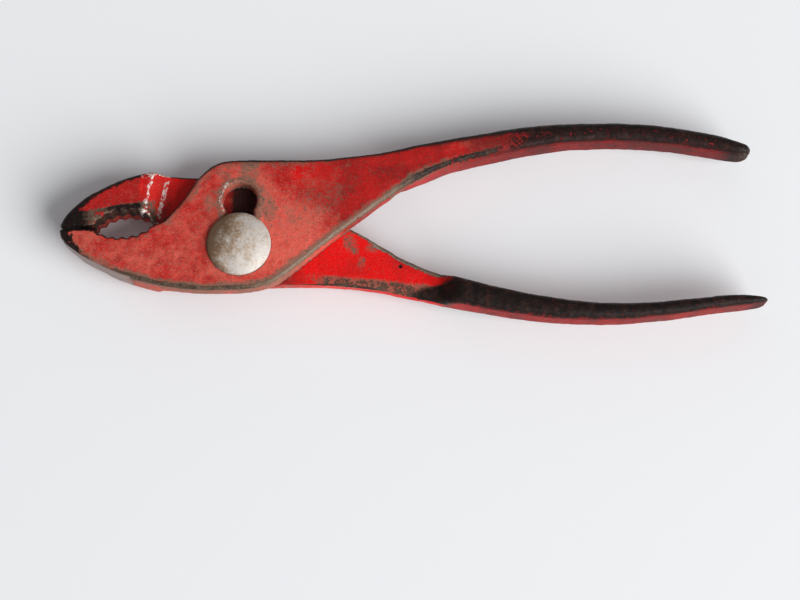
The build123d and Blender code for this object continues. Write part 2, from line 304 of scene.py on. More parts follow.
# %% Where the other half lies close over the skin
def covered(piece, others, reach=0.35):
    """1 where another piece lies within reach in front of the skin, else 0."""
    at, facing = points_of(piece), normals_of(piece)
    hit = np.zeros(len(at))
    joint = np.nonzero(np.abs(at[:, 0]) < 42)[0]
    for other in others:
        tree = BVHTree.FromObject(other, bpy.context.evaluated_depsgraph_get())
        for i in joint:
            start = Vector((at[i] + facing[i] * 0.02) * MM)
            found = tree.ray_cast(start, Vector(facing[i]), reach * MM)
            if found[0] is not None:
                hit[i] = 1.0
    return hit


def keep_attribute(piece, name, values):
    """Store one number per point on the mesh, for the material to read."""
    attribute = piece.data.attributes.new(name, "FLOAT", "POINT")
    attribute.data.foreach_set("value", np.clip(values, 0, 1).astype(np.float32))


# %% [markdown]
# ## Measuring the skin
# All measures of a half go into one small table: place, direction, fine and broad convexity, and cover.
# The direction is averaged a little, or each dent would tear the borders between crest and flank.

# %% Measure both halves
def even_normals(piece, rounds):
    """Normals with the fine dents averaged out, so a mask by direction has a clean border."""
    links = np.empty(len(piece.data.edges) * 2, np.int32)
    piece.data.edges.foreach_get("vertices", links)
    facing = eased(normals_of(piece), links.reshape(-1, 2), len(piece.data.vertices), rounds)
    return facing / np.linalg.norm(facing, axis=1, keepdims=True)


skin = {}
for half, other, bolt_or_nut in ((front, "rear_half", "pivot_bolt"), (rear, "front_half", "pivot_nut")):
    skin[half.name] = {
        "at": points_of(half),
        "facing": even_normals(half, 8),
        "edge": convexity(half, 10),
        "swell": convexity(half, 90),
        "covered": covered(half, [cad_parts[other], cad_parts[bolt_or_nut]]),
    }
    print(half.name, "convexity from", round(float(skin[half.name]["edge"].min()), 3), "to",
          round(float(skin[half.name]["edge"].max()), 3), "mm, wide from",
          round(float(skin[half.name]["swell"].min()), 3), "to",
          round(float(skin[half.name]["swell"].max()), 3), "mm; covered points:",
          int(skin[half.name]["covered"].sum()))

# %% [markdown]
# ## Masks with plain names
# The same few kinds of place come up on both halves: an edge, a spot, a stretch along the tool.

# %% Kinds of place
def edge_wear(s, start=0.035, full=0.13):
    """Wear that edges get everywhere."""
    return fade(s["edge"], start, full)


def spot(s, x, y, radius, soft, stretch=1.0, turn=0.0):
    """1 at a place in plan, fading out beyond radius; stretch makes it longer along its turn."""
    across = s["at"][:, 0] - x
    up = s["at"][:, 1] - y
    along = (across * math.cos(turn) + up * math.sin(turn)) / stretch
    aside = up * math.cos(turn) - across * math.sin(turn)
    return fade(np.hypot(along, aside), radius + soft, radius)


def below_line(s, x0, y0, x1, y1, soft=0.8):
    """1 under the straight line between two places in plan."""
    x, y = s["at"][:, 0], s["at"][:, 1]
    line = y0 + (x - x0) * (y1 - y0) / (x1 - x0)
    return fade(y, line + soft / 2, line - soft / 2)


# %% [markdown]
# ## Wear of the front half
# The front half shows most of its face. The enamel of its boss is chalky, with a painted pale sheen, and
# grey where the bolt's head rubbed beside the slot. Its long lower edge is worn down to the steel, olive
# under the jaw, grey below the bolt, black along the handle. The far edge, turned away from the lamp, is
# black from end to end, partly from grease and partly as painted shade; the crest of the handle is black
# from the hand, and the flank below it stayed red. The left rim of the slot gets a painted highlight. The
# outside of the jaw was ground bare from the nose back.

# %% Front half: places
s = skin[front.name]
x, y, z = s["at"].T
toward_y, up = s["facing"][:, 1], s["facing"][:, 2]
top_side = z > LAP_Z / MM + 1
# far_edge_wear_and_shade marks the edges that face away from the lamp: they are darkened as painted shade,
# with some grease and edge wear.
far_edge_wear_and_shade = fade(toward_y, 0.10, 0.55) * fade(up, -0.3, 0.1)
near_edge = fade(-toward_y, 0.06, 0.28) * fade(up, 0.22, 0.45) * top_side
hand = fade(x, 54, 72) * fade(up, 0.30, 0.62)
underside = fade(-up, 0.3, 0.7)
smudges = (spot(s, -6.6, 10.2, 0.8, 2.8, 1.8, 1.2) + spot(s, 6.2, 9.8, 0.8, 3.0, 1.8, 1.8)
           + spot(s, 2.2, 18.0, 1.0, 2.4, 1.8, 1.5) + spot(s, -3.6, 16.6, 0.5, 2.0)
           + 0.8 * spot(s, 17, 10, 2.0, 7.0, 1.5, 0.5)) * top_side
nose = fade(x + 0.5 * y, -35.5, -40.0) * fade(up, -0.2, 0.2)
flank = fade(-toward_y, 0.55, 0.85)
ground = fade(x, -22.0, -28.5) * flank * (y < 3)
low_band = near_edge * fade(x, -33, -26) * fade(x, 64, 56) * (1 - spot(s, 0, 8, 8.0, 1.0))
# rim is the left rim of the slot, which faces the lamp; it feeds a painted highlight through the glint.
rim = fade(np.abs(np.hypot(x, y - SLOT_TOP) - 4.6), 0.9, 0.3) * fade(x, -1.0, -3.0) * fade(up, 0.2, 0.5)
beside_edge = fade(s["swell"], 0.01, 0.14) * top_side * fade(x, 26, 14) * fade(x, -30, -24)
tip = fade(x, 113, 118)
beside_band = fade(s["swell"], 0.02, 0.16) * fade(-toward_y, -0.03, 0.04) * top_side * fade(x, 60, 40)
print("front half places: low band", int(low_band.sum()), "points, hand", int(hand.sum()))

# %% [markdown]
# ## How much of each, on the front half
# The places are added up with a share each. The shares were set against the real tool's look.

# %% Front half: amounts
worn = (0.14 + 0.40 * edge_wear(s) + 0.52 * hand + 0.56 * low_band + 0.20 * smudges + 0.50 * nose
        + 0.34 * far_edge_wear_and_shade + 0.8 * ground + 0.9 * s["covered"] + 0.25 * underside
        + 0.10 * beside_band + 0.06 * beside_edge - 0.22 * flank * fade(x, 30, 50) + 0.5 * tip)
film = (0.12 + 0.46 * smudges + 0.55 * beside_band + 0.46 * beside_edge + 0.3 * low_band
        + 0.10 * (x > 0) * fade(x, 40, 15) + 0.50 * flank * fade(x, 24, 8))
# The chalk on the boss and the jaw's flank is partly chalky enamel and partly a painted pale sheen.
chalk = (0.44 + 0.34 * spot(s, 9, 4, 6, 12) - 0.50 * fade(x + 0.6 * y, 20, 32)
         - 0.40 * spot(s, 17, 16.5, 3, 6, 1.6) + 0.3 * flank * fade(x, 30, 10) - 0.25 * tip)
rubbed = (0.40 + 0.22 * low_band * fade(x, 46, 30) * fade(x, -2, 12) - 0.16 * low_band * fade(x, 30, 45)
          + 0.15 * smudges - 0.42 * far_edge_wear_and_shade - 0.42 * hand + 0.5 * s["covered"] - 0.45 * nose)
# grime holds grease and dirt, and painted shade on the far edge.
grime = (0.08 + 0.80 * far_edge_wear_and_shade + 0.60 * flank * fade(x, 36, 66) + 0.45 * nose
         + 0.30 * (1 - flank) * fade(x, 24, 56) + 0.38 * hand + 0.2 * underside + 0.5 * tip
         + 0.16 * beside_edge)
live = 0.16 + 0.40 * spot(s, 17, 16.5, 2, 6, 1.6) + 0.30 * spot(s, 50, 22.0, 1, 4, 1.6, 0.3)
# The glint is bright bare steel on worn edges, and a painted highlight on the sharpest edges and on the
# slot's left rim.
glint = (0.75 * fade(s["edge"], 0.03, 0.12) * low_band * fade(x, 56, 40)
         + 0.5 * fade(s["edge"], 0.14, 0.24) + 0.75 * rim)
for name, values in (("worn", np.minimum(worn, 0.80 + s["covered"])), ("chalk", chalk), ("film", film),
                     ("rubbed", rubbed), ("grime", grime), ("live", live), ("glint", glint),
                     ("ground", ground)):
    keep_attribute(front, name, values)
print("front half worn on average:", round(float(np.clip(worn, 0, 1).mean()), 2))

# %% [markdown]
# ## Wear of the rear half
# Behind the lap the rear half kept its brightest enamel, sheltered by the front half and the step, with a
# few chips and one deep pit. Its handle's crest is black from the ramp on, its flank red. On the jaw, a dark
# band follows the outer edge and a grey one the working edge, and the step's two bends are rubbed and carry
# a painted highlight of bright steel and a livelier red. The far edge is darkened as painted shade, and so
# are the lap between the step and the boss and the right side of the lap seen through the slot.

# %% Rear half: places
PIT = (37.7, -4.2)
MOUTH_BAND = (-37.8, 7.9, -19.0, 11.3)
s = skin[rear.name]
x, y, z = s["at"].T
toward_y, up = s["facing"][:, 1], s["facing"][:, 2]
top_side = z > LAP_Z / MM - 0.8
jaw = fade(x, -14, -18)
# far_edge_wear_and_shade marks the edges that face away from the lamp: they are darkened as painted shade,
# with some grease and edge wear.
far_edge_wear_and_shade = fade(toward_y, 0.12, 0.55) * fade(up, -0.3, 0.1)
near_edge = fade(-toward_y, 0.06, 0.28) * fade(up, 0.22, 0.45) * top_side
past_root = x - 2.6 * (y + 8.0)
hand = fade(past_root, 46.5, 53.0) * fade(x, 36, 42) * fade(up, 0.12, 0.40)
tip = fade(x, 117, 121)
underside = fade(-up, 0.3, 0.7)
flank = fade(-toward_y, 0.55, 0.85)
outer_band = jaw * fade(s["swell"], 0.03, 0.22) * fade(y, 7.6, 9.5) * fade(x, -22.5, -24.0) * top_side
mouth = fade(x, -18.5, -21.0) * below_line(s, *MOUTH_BAND, 1.3) * top_side
nose = fade(x, -34.0, -38.5) * fade(up, -0.2, 0.2)
inner_wall = fade(x, -38, -36) * fade(x, -18, -20) * fade(np.abs(up), 0.75, 0.45) * fade(y, 9.2, 8.2)
chips = (spot(s, 28.2, -3.4, 0.5, 1.5, 1.3, 1.2) + spot(s, 25.8, 1.6, 0.6, 2.0, 1.4, 1.8)
         + spot(s, 31.0, 0.2, 0.3, 1.6, 1.5) + spot(s, 27.0, -0.6, 0.2, 1.3)) * top_side
low_band = fade(x, 12, 22) * fade(x, 52, 47) * top_side
low_band = low_band * np.maximum(near_edge, below_line(s, 20, -6.2, 47, -8.9, 1.6))
upper_band = fade(x, 24, 28) * fade(x, 50, 46) * fade(toward_y, 0.03, 0.30) * (z > LAP_Z / MM - 4)
# bend is the step's two bends, which face the lamp: it feeds a painted highlight and a livelier, lit red.
step_bend_highlight = fade(x, -24.0, -23.2) * fade(x, -14.6, -15.6) * fade(z, 7.7, 7.9)
# slot_floor_shade is the rear lap seen through the slot: its right side is darkened as painted shade, where
# the slot's wall shades it.
slot_floor_shade = spot(s, 0.8, 8.0, 6.0, 1.5, 1.3, 1.57) * top_side
pit = spot(s, *PIT, 0.25, 0.45) * top_side
print("rear half places: low band", int(low_band.sum()), "points, hand", int(hand.sum()))

# %% [markdown]
# ## How much of each, on the rear half
# The same sums again, with the rear half's own places.

# %% Rear half: amounts
worn = (0.10 + 0.45 * edge_wear(s) + 0.72 * hand + 0.42 * outer_band + 0.52 * mouth + 0.46 * nose
        + 0.30 * chips + 0.40 * low_band + 0.52 * upper_band + 0.34 * far_edge_wear_and_shade + 0.9 * s["covered"]
        + 0.25 * underside - 0.22 * flank * fade(x, 30, 50) + pit + 0.06 * inner_wall + 0.35 * tip)
film = (0.06 + 0.62 * chips + 0.55 * mouth + 0.5 * upper_band + 0.95 * low_band + 0.2 * outer_band
        + 0.3 * inner_wall)
# The chalk on the flank is partly chalky enamel and partly a painted pale sheen.
chalk = 0.05 + 0.10 * jaw + 0.25 * underside + 0.35 * flank * fade(x, 36, 20)
rubbed = (0.42 + 0.06 * mouth + 0.50 * upper_band - 0.50 * outer_band
          - 0.42 * far_edge_wear_and_shade * fade(x, 60, 48) - 0.44 * hand
          - 0.40 * nose + 0.20 * chips + 0.5 * s["covered"] - 0.10 * low_band - 0.5 * pit
          - 0.2 * inner_wall)
black_root = (1 - flank) * fade(past_root, 43.5, 50.5) * fade(x, 34, 40) * fade(x, 62, 56)
# grime holds grease and dirt, with painted shade on the far edge, on the lap between the step and the boss,
# and on the lap seen through the slot.
grime = (0.04 + 0.60 * far_edge_wear_and_shade * jaw + 0.50 * flank * fade(x, 38, 60) + 0.50 * nose + 0.35 * outer_band
         + 0.68 * black_root + 0.30 * low_band + 0.9 * pit + 0.25 * hand
         + 0.22 * fade(x, -18.5, -17.0) * fade(x, 5, 0) + 0.2 * underside + 0.30 * inner_wall + 0.3 * tip
         + 0.85 * slot_floor_shade * fade(x, -3.2, -1.0))
live = (0.22 + 0.50 * fade(x, 8, 18) * fade(x, 50, 47) + 0.35 * fade(x, -19, -16) * fade(x, -2, -6)
        + 0.22 * spot(s, -28.5, 12.3, 1.0, 4.0, 2.2, 0.4)
        + 0.24 * step_bend_highlight - 0.4 * flank * fade(x, 44, 52))
# The glint is a painted highlight on the step's two bends, and bright bare steel on sharp edges.
glint = (step_bend_highlight * (0.88 * fade(s["edge"], 0.008, 0.035) + 0.80 * fade(-s["swell"], 0.03, 0.12))
         + fade(s["edge"], 0.10, 0.22) * fade(x, 52, 30) * (1 - 0.8 * nose))
for name, values in (("worn", np.minimum(worn, 0.82 + s["covered"])), ("chalk", chalk), ("film", film),
                     ("rubbed", rubbed), ("grime", grime), ("live", live), ("glint", glint),
                     ("ground", np.zeros(len(x)))):
    keep_attribute(rear, name, values)
print("rear half worn on average:", round(float(np.clip(worn, 0, 1).mean()), 2))


# %% [markdown]
# ## Writing materials as sums
# A Blender material is a net of nodes. Written out node by node it is long and hard to read, so a small
# class wraps a socket and lets Python's + - * / stand for Math nodes. Every other node comes from
# one method, which takes its type, its settings and what goes into its sockets.

# %% Sockets that add up
class Wire:
    """An output socket that can be used in sums."""

    def __init__(self, finish, socket):
        self.finish, self.socket = finish, socket

    def _sum(self, operation, *values):
        return self.finish.node("ShaderNodeMath", {"operation": operation}, dict(enumerate(values)))

    def __add__(self, other):
        return self._sum("ADD", self, other)

    def __radd__(self, other):
        return self._sum("ADD", other, self)

    def __sub__(self, other):
        return self._sum("SUBTRACT", self, other)

    def __rsub__(self, other):
        return self._sum("SUBTRACT", other, self)

    def __mul__(self, other):
        return self._sum("MULTIPLY", self, other)

    def __rmul__(self, other):
        return self._sum("MULTIPLY", other, self)

    def __truediv__(self, other):
        return self._sum("DIVIDE", self, other)
print("sums ready:", [name for name in vars(Wire) if name.startswith("__r")])

# %% [markdown]
# ## A material under construction
# One object holds a material's nodes while they are made. Its node method is the only place where a node is
# created; grain, reading, between and mix are just handy ways to call it, and done joins the shader.

# %% The finish
class Finish:
    """A material under construction."""

    def __init__(self, name):
        self.material = bpy.data.materials.new(name)
        self.material.use_nodes = True
        self.tree = self.material.node_tree
        self.tree.nodes.clear()
        self.place = self.node("ShaderNodeTexCoord", {}, {}, "Object")

    def node(self, kind, settings, sockets, output=0):
        """Any node: its settings are set first, then each socket gets a value or a wire."""
        made = self.tree.nodes.new(kind)
        for name, value in settings.items():
            if name == "stops":
                ramp = made.color_ramp
                while len(ramp.elements) > 2:
                    ramp.elements.remove(ramp.elements[-1])
                for element, (position, colour) in zip(ramp.elements, (value[0], value[-1])):
                    element.position, element.color = position, (*colour, 1)
                for position, colour in value[1:-1]:
                    ramp.elements.new(position).color = (*colour, 1)
            else:
                setattr(made, name, value)
        for key, value in sockets.items():
            socket = made.inputs[key]
            if isinstance(value, Wire):
                self.tree.links.new(value.socket, socket)
            elif isinstance(value, tuple) and len(value) == 3 and socket.type == "RGBA":
                socket.default_value = (*value, 1)
            else:
                socket.default_value = value
        return Wire(self, made.outputs[output])

    def grain(self, size, detail=4.0, roughness=0.55, shift=0.0, place=None):
        """Noise whose lumps are about size across, from 0 to 1."""
        place = place or self.place
        moved = self.node("ShaderNodeVectorMath", {"operation": "ADD"}, {0: place, 1: (shift, shift, shift)})
        return self.node("ShaderNodeTexNoise", {}, {"Vector": moved, "Scale": 1 / size, "Detail": detail,
                                                    "Roughness": roughness})

    def reading(self, name):
        """An attribute kept on the mesh."""
        return self.node("ShaderNodeAttribute", {"attribute_name": name}, {}, "Fac")

    def between(self, value, low, high):
        """0 below low, 1 above high, soft between."""
        return self.node("ShaderNodeMapRange", {"interpolation_type": "SMOOTHSTEP"},
                         {"Value": value, "From Min": low, "From Max": high})

    def mix(self, share, first, second):
        """first where share is 0, second where it is 1; colours."""
        return self.node("ShaderNodeMix", {"data_type": "RGBA", "clamp_factor": True},
                         {0: share, 6: first, 7: second}, 2)

    def done(self, colour, roughness, metallic, height=None, lift=0.0, gloss=0.5):
        """Join everything to one Principled shader."""
        sockets = {"Base Color": colour, "Roughness": roughness, "Metallic": metallic,
                   "Specular IOR Level": gloss}
        if height is not None:
            sockets["Normal"] = self.node("ShaderNodeBump", {}, {"Height": height, "Distance": lift,
                                                                 "Strength": 1.0}, "Normal")
        shader = self.node("ShaderNodeBsdfPrincipled", {}, sockets)
        out = self.tree.nodes.new("ShaderNodeOutputMaterial")
        self.tree.links.new(shader.socket, out.inputs["Surface"])
        return self.material


# %% [markdown]
# ## Worn red enamel over forged steel
# The finish has three layers. The bottom one is the forging: black-brown scale, rubbed to an olive grey
# where it is handled and to bright steel on a few edges, where the bright steel also stands as a painted
# highlight. Over it lies one coat of red enamel, fresh and glossy in the hollows, chalky and full of fine
# light specks on the boss; the chalk carries a painted pale sheen, and the specks stand partly for painted
# glints. The "worn" attribute decides how much of the coat is left, and noise at two sizes breaks its
# border, so chips look like chips. The coat's thickness goes into the bump, which gives each chip its rim.

# %% The enamel material
LIVE_RED = (0.76, 0.001, 0.001)
PLAIN_RED = (0.44, 0.008, 0.006)
DEEP_RED = (0.22, 0.006, 0.005)
# SHEENED_CHALKY_RED is faded enamel with a painted pale sheen; CHALK_AND_GLINT is the pale speck colour,
# partly a painted glint.
SHEENED_CHALKY_RED = (0.70, 0.100, 0.068)
CHALK_AND_GLINT = (0.72, 0.36, 0.30)
# GREASE_AND_SHADE is dark grease, and also the colour of painted shade.
GREASE_AND_SHADE = (0.024, 0.007, 0.006)
SCALE_BLACK = (0.007, 0.0035, 0.003)
SCALE_BROWN = (0.046, 0.015, 0.010)
HANDLED_OLIVE = (0.170, 0.112, 0.076)
HANDLED_GREY = (0.30, 0.235, 0.200)
# BRIGHT_STEEL_AND_HIGHLIGHT is bright worn steel, also used as a painted highlight on edges.
BRIGHT_STEEL_AND_HIGHLIGHT = (0.66, 0.56, 0.52)
GROUND_STEEL = (0.30, 0.215, 0.195)

COAT_LIFT = 0.28 * MM
ENAMEL_GLOSS = 0.20
print("enamel reds from", DEEP_RED, "to", LIVE_RED)

# %% [markdown]
# ## Noise and readings
# The attributes on the mesh say where, and four sizes of noise say how it breaks up: patches as wide as a
# fingertip, blotches, flecks and dust. Reading and noise are added before each threshold, so the borders
# are ragged at every size.

# %% Read the mesh and make the noises
enamel = Finish("worn_red_enamel")
worn, chalk, rubbed = enamel.reading("worn"), enamel.reading("chalk"), enamel.reading("rubbed")
grime, live, glint = enamel.reading("grime"), enamel.reading("live"), enamel.reading("glint")
film, ground_off = enamel.reading("film"), enamel.reading("ground")
patch = enamel.grain(7 * MM, 3)
blotch = enamel.grain(2.2 * MM, 6, 0.65, 0.3)
fleck = enamel.grain(0.65 * MM, 5, 0.65, 0.7)
dust = enamel.grain(0.36 * MM, 3, 0.6, 1.1)
soot = enamel.grain(0.5 * MM, 4, 0.7, 1.9)

print("noises:", len(enamel.tree.nodes), "nodes so far")

# %% [markdown]
# ## The coat of enamel
# From plain to dusty: the red itself, deeper or livelier by patch, then chalk with a painted pale sheen,
# light specks that stand partly for painted glints, a rubbed film, dark pores and last the grease that lies
# on top, which also lays painted shade where the grime attribute holds it. Each is one mix with its own
# mask.

# %% Lay the coat
border = worn + (blotch - 0.5) * 0.9 + (fleck - 0.5) * 1.1 + (dust - 0.5) * 0.25
gone = enamel.between(border, 0.45, 0.60)
rubbing = enamel.between(film + (patch - 0.5) * 0.9 + (blotch - 0.5) * 1.1
                         + (fleck - 0.5) * 1.4 + (dust - 0.5) * 0.8, 0.22, 1.0)
pores = enamel.between(fleck + (dust - 0.5) * 0.5, 0.60, 0.70)
plain = enamel.mix(enamel.between(patch + (fleck - 0.5) * 0.6, 0.35, 0.68), PLAIN_RED, DEEP_RED)
coat_red = enamel.mix(enamel.between(live + (patch - 0.5) * 0.8 + (fleck - 0.5) * 0.3, 0.35, 0.80), plain,
                      LIVE_RED)
# chalked lays a painted pale sheen over the boss, along with real chalking.
chalked_and_sheened = enamel.between(chalk + (blotch - 0.5) * 1.1 + (patch - 0.5) * 1.0, 0.10, 0.85)
dulled = enamel.mix(chalked_and_sheened, coat_red, SHEENED_CHALKY_RED)
# The light specks stand partly for painted glints on the rough enamel.
chalk_and_glint_specks = enamel.between(dust + (fleck - 0.5) * 0.6, 0.55, 0.68)
speckled = enamel.mix(chalk_and_glint_specks * (0.07 + chalk * 0.60), dulled, CHALK_AND_GLINT)
rubbed_thin = enamel.mix(rubbing * 0.80, speckled, HANDLED_OLIVE)
pored = enamel.mix(pores * 0.45 + enamel.between(soot, 0.55, 0.70) * 0.34, rubbed_thin, SCALE_BROWN)
# greasy lays dark grease, and painted shade where the grime attribute holds it.
greased_and_shaded = enamel.mix(enamel.between(grime + (blotch - 0.5) * 0.5 + (fleck - 0.5) * 0.4, 0.22, 1.05),
                    pored, GREASE_AND_SHADE)
print("coat:", len(enamel.tree.nodes), "nodes so far")

# %% [markdown]
# ## The steel under it, and the two together
# Scale, handled olive, grey and filed steel are mixed the same way. Where the coat is gone the steel shows,
# and it is duller or brighter, rougher or smoother with its own masks. The coat's thickness and the noises
# add up to the height that the Bump node reads.

# %% Bare steel, and joining both
scale_skin = enamel.mix(enamel.between(blotch + (dust - 0.5) * 0.6, 0.44, 0.78), SCALE_BLACK, SCALE_BROWN)
handled = enamel.between(rubbed + (blotch - 0.5) * 0.5 + (fleck - 0.5) * 0.6, 0.18, 0.62)
polished = enamel.between(rubbed + (fleck - 0.5) * 0.9, 0.50, 1.0)
olive = enamel.mix(handled, scale_skin, HANDLED_OLIVE)
steel = enamel.mix(polished, olive, HANDLED_GREY)
filed = enamel.mix(enamel.between(ground_off + (fleck - 0.5) * 0.4, 0.35, 0.6), steel, GROUND_STEEL)
# spark lays bright bare steel and a painted highlight on edges.
bright_steel_and_highlight = enamel.between(glint + (fleck - 0.5) * 1.5, 0.72, 0.95)
surface = enamel.mix(bright_steel_and_highlight, enamel.mix(gone, greased_and_shaded, filed), BRIGHT_STEEL_AND_HIGHLIGHT)

coat_rough = 0.44 + chalk * 0.25 + grime * 0.25 + (dust - 0.5) * 0.25
steel_rough = 0.42 + handled * 0.12 + (dust - 0.5) * 0.3
rough = coat_rough * (1 - gone) + steel_rough * gone
metal = gone * (0.10 + handled * 0.20) + bright_steel_and_highlight * 0.4
relief = (1 - gone) * 0.50 + fleck * 0.45 + blotch * 0.50 + dust * 0.25 - pores * 0.30
worn_enamel = enamel.done(surface, rough, metal, relief, COAT_LIFT, gloss=ENAMEL_GLOSS)
for half in (front, rear):
    half.data.materials.append(worn_enamel)
print("enamel has", len(enamel.tree.nodes), "nodes")


# %% [markdown]
# ## The domed bolt
# The bolt is turned on a lathe and its flats are milled. A lathe shape could be spun from a drawn
# profile, but growing it ring by ring, extrude and resize, shows better what each size does and gives even
# quads for the head's dents. The rings run from the crown down to the threaded end, and both ends are
# closed. Afterwards the neck is pressed flat on two sides, to the width that fits the slot.

# %% Turning a piece ring by ring
def turned(name, rings, sides):
    """A closed round piece from (radius, height) rings in millimetres, first ring to last."""
    radius, height = rings[0]
    bpy.ops.object.select_all(action="DESELECT")
    bpy.ops.mesh.primitive_circle_add(vertices=sides, radius=radius * MM, fill_type="NGON",
                                      location=(0, 0, height * MM))
    piece = bpy.context.active_object
    piece.name = name
    bpy.ops.object.transform_apply(location=True, rotation=True, scale=True)
    bpy.ops.object.mode_set(mode="EDIT")
    bpy.ops.mesh.select_all(action="SELECT")
    for next_radius, next_height in rings[1:]:
        bpy.ops.mesh.extrude_region_move(
            TRANSFORM_OT_translate={"value": (0, 0, (next_height - height) * MM)})
        share = next_radius / radius
        bpy.ops.transform.resize(value=(share, share, 1), center_override=(0, 0, next_height * MM))
        radius, height = next_radius, next_height
    bpy.ops.mesh.select_all(action="SELECT")
    bpy.ops.mesh.normals_make_consistent(inside=False)
    bpy.ops.object.mode_set(mode="OBJECT")
    return piece


# %% [markdown]
# ## The bolt's measures
# The head's size, the crown's height and the threaded end come from the bolt's box in the frame. The dome
# is an arc of a sphere, the rim a small round, the neck a plain shank, the thread a row of ridges, and the
# end is staked over the nut, which spread it and left a dimple.

# %% The bolt's rings
HEAD_R = (BOLT_HIGH.x - BOLT_LOW.x) / 2 / MM
CROWN = BOLT_HIGH.z / MM
HEAD_RISE, HEAD_EDGE = 2.7, 0.7
SEAT = CROWN - HEAD_RISE
SHANK_R, FLAT = 3.9, 3.1
THREAD_R, PITCH, THREAD_DEPTH = 3.175, 1.27, 0.28
NUT_TOP = NUT_HIGH.z / MM
END = BOLT_LOW.z / MM

dome_rise = HEAD_RISE - HEAD_EDGE
dome_radius = (HEAD_R ** 2 + dome_rise ** 2) / (2 * dome_rise)
dome = []
for k in range(1, 25):
    r = (HEAD_R - 0.25) * k / 24
    dome.append((r, CROWN - 0.02 - dome_radius + math.sqrt(dome_radius ** 2 - r ** 2)))
rim = [(HEAD_R - 0.10, SEAT + 0.60), (HEAD_R - 0.02, SEAT + 0.45), (HEAD_R - 0.02, SEAT + 0.22),
       (HEAD_R - 0.15, SEAT + 0.05), (HEAD_R - 0.4, SEAT)]
neck = [(SHANK_R, SEAT), (SHANK_R, SEAT - 0.3), (SHANK_R, LAP_Z / MM + 0.35), (SHANK_R, LAP_Z / MM),
        (SHANK_R, NUT_TOP + 0.2), (SHANK_R - 0.2, NUT_TOP)]
thread = []
turn = NUT_TOP
while turn - PITCH > END + 0.6:
    thread += [(THREAD_R - THREAD_DEPTH, turn - 0.1), (THREAD_R, turn - PITCH * 0.45),
               (THREAD_R, turn - PITCH * 0.6)]
    turn -= PITCH
staked = [(THREAD_R - 0.05, END + 0.5), (THREAD_R - 0.5, END + 0.04), (1.4, END), (0.9, END + 0.02),
          (0.1, END + 0.55)]
bolt = turned("domed_bolt", dome + rim + neck + thread + staked, 96)
print("bolt rings:", len(dome + rim + neck + thread + staked))


# %% [markdown]
# ## Flats and dents
# The neck is flattened on two sides by scaling the points beyond each flat to nothing along X about the
# flat's own place, which is what a milling cutter leaves. The crown is then dented with a Displace modifier
# held to the dome by a vertex group, because decades of hammering on a pliers' bolt don't leave it round.

# %% Press the neck's flats and dent the head
def choose(piece, picked):
    """In edit mode, select just the vertices whose place passes the test."""
    bpy.ops.object.mode_set(mode="OBJECT")
    for vertex in piece.data.vertices:
        vertex.select = bool(picked(vertex.co / MM))
    for edge in piece.data.edges:
        edge.select = False
    for face in piece.data.polygons:
        face.select = False
    bpy.ops.object.mode_set(mode="EDIT")


take_up(bolt)
bpy.ops.object.mode_set(mode="EDIT")
bpy.ops.mesh.select_mode(type="VERT")
for side in (1, -1):
    choose(bolt, lambda p: LAP_Z / MM + 0.2 < p.z < SEAT - 0.1 and side * p.x > FLAT)
    bpy.ops.transform.resize(value=(0, 1, 1), center_override=(side * FLAT * MM, 0, LAP_Z))
bpy.ops.object.mode_set(mode="OBJECT")
at = points_of(bolt)
weigh(bolt, "dome", fade(at[:, 2], SEAT + 0.2, SEAT + 0.9))
apply_modifier(bolt, "DISPLACE", texture=clouds("head_dents", 2.4 * MM, 2), texture_coords="LOCAL",
               mid_level=0.62, strength=0.22 * MM, vertex_group="dome")
bpy.ops.object.shade_smooth_by_angle(angle=math.radians(35))
print("bolt head", round(2 * HEAD_R, 2), "mm across, neck", 2 * FLAT, "mm over its flats,",
      len(bolt.data.polygons), "faces")

# %% [markdown]
# ## The nut
# A hexagon nut starts as a six-sided cylinder. Its corners are turned off at both faces, which is
# an intersection with a double cone, and the thread is a hole. Booleans do both, with the cutters deleted
# afterwards, and a small bevel takes the sharpness off.

# %% Cut and bevel the nut
ACROSS_FLATS = 11.1
NUT_BORE = 3.195


def cut(piece, tool, operation):
    apply_modifier(piece, "BOOLEAN", object=tool, operation=operation, solver="EXACT")
    bpy.data.objects.remove(tool)


nut_height = NUT_TOP - NUT_LOW.z / MM
nut_middle = (NUT_TOP + NUT_LOW.z / MM) / 2
corner = ACROSS_FLATS / math.sqrt(3)
bpy.ops.object.select_all(action="DESELECT")
bpy.ops.mesh.primitive_cylinder_add(vertices=6, radius=corner * MM, depth=nut_height * MM,
                                    location=(0, 0, nut_middle * MM), rotation=(0, 0, math.radians(30)))
nut = bpy.context.active_object
nut.name = "hexagon_nut"
bpy.ops.object.transform_apply(location=True, rotation=True, scale=True)
low, high = NUT_LOW.z / MM, NUT_TOP
chamfers = turned("nut_chamfers", [(5.45, low - 0.001), (6.45, low + 0.62), (6.45, high - 0.45),
                                   (5.75, high + 0.001)], 96)
cut(nut, chamfers, "INTERSECT")
bore = turned("nut_bore", [(NUT_BORE + 0.45, low - 0.2), (NUT_BORE + 0.25, low - 0.01),
                           (NUT_BORE, low + 0.24), (NUT_BORE, high + 0.3)], 96)
cut(nut, bore, "DIFFERENCE")
apply_modifier(nut, "BEVEL", width=0.14 * MM, segments=3, limit_method="ANGLE",
               angle_limit=math.radians(25))
bpy.ops.object.shade_smooth_by_angle(angle=math.radians(30))
print("nut has", len(nut.data.polygons), "faces, box", [round(v / MM, 2) for v in nut.dimensions])

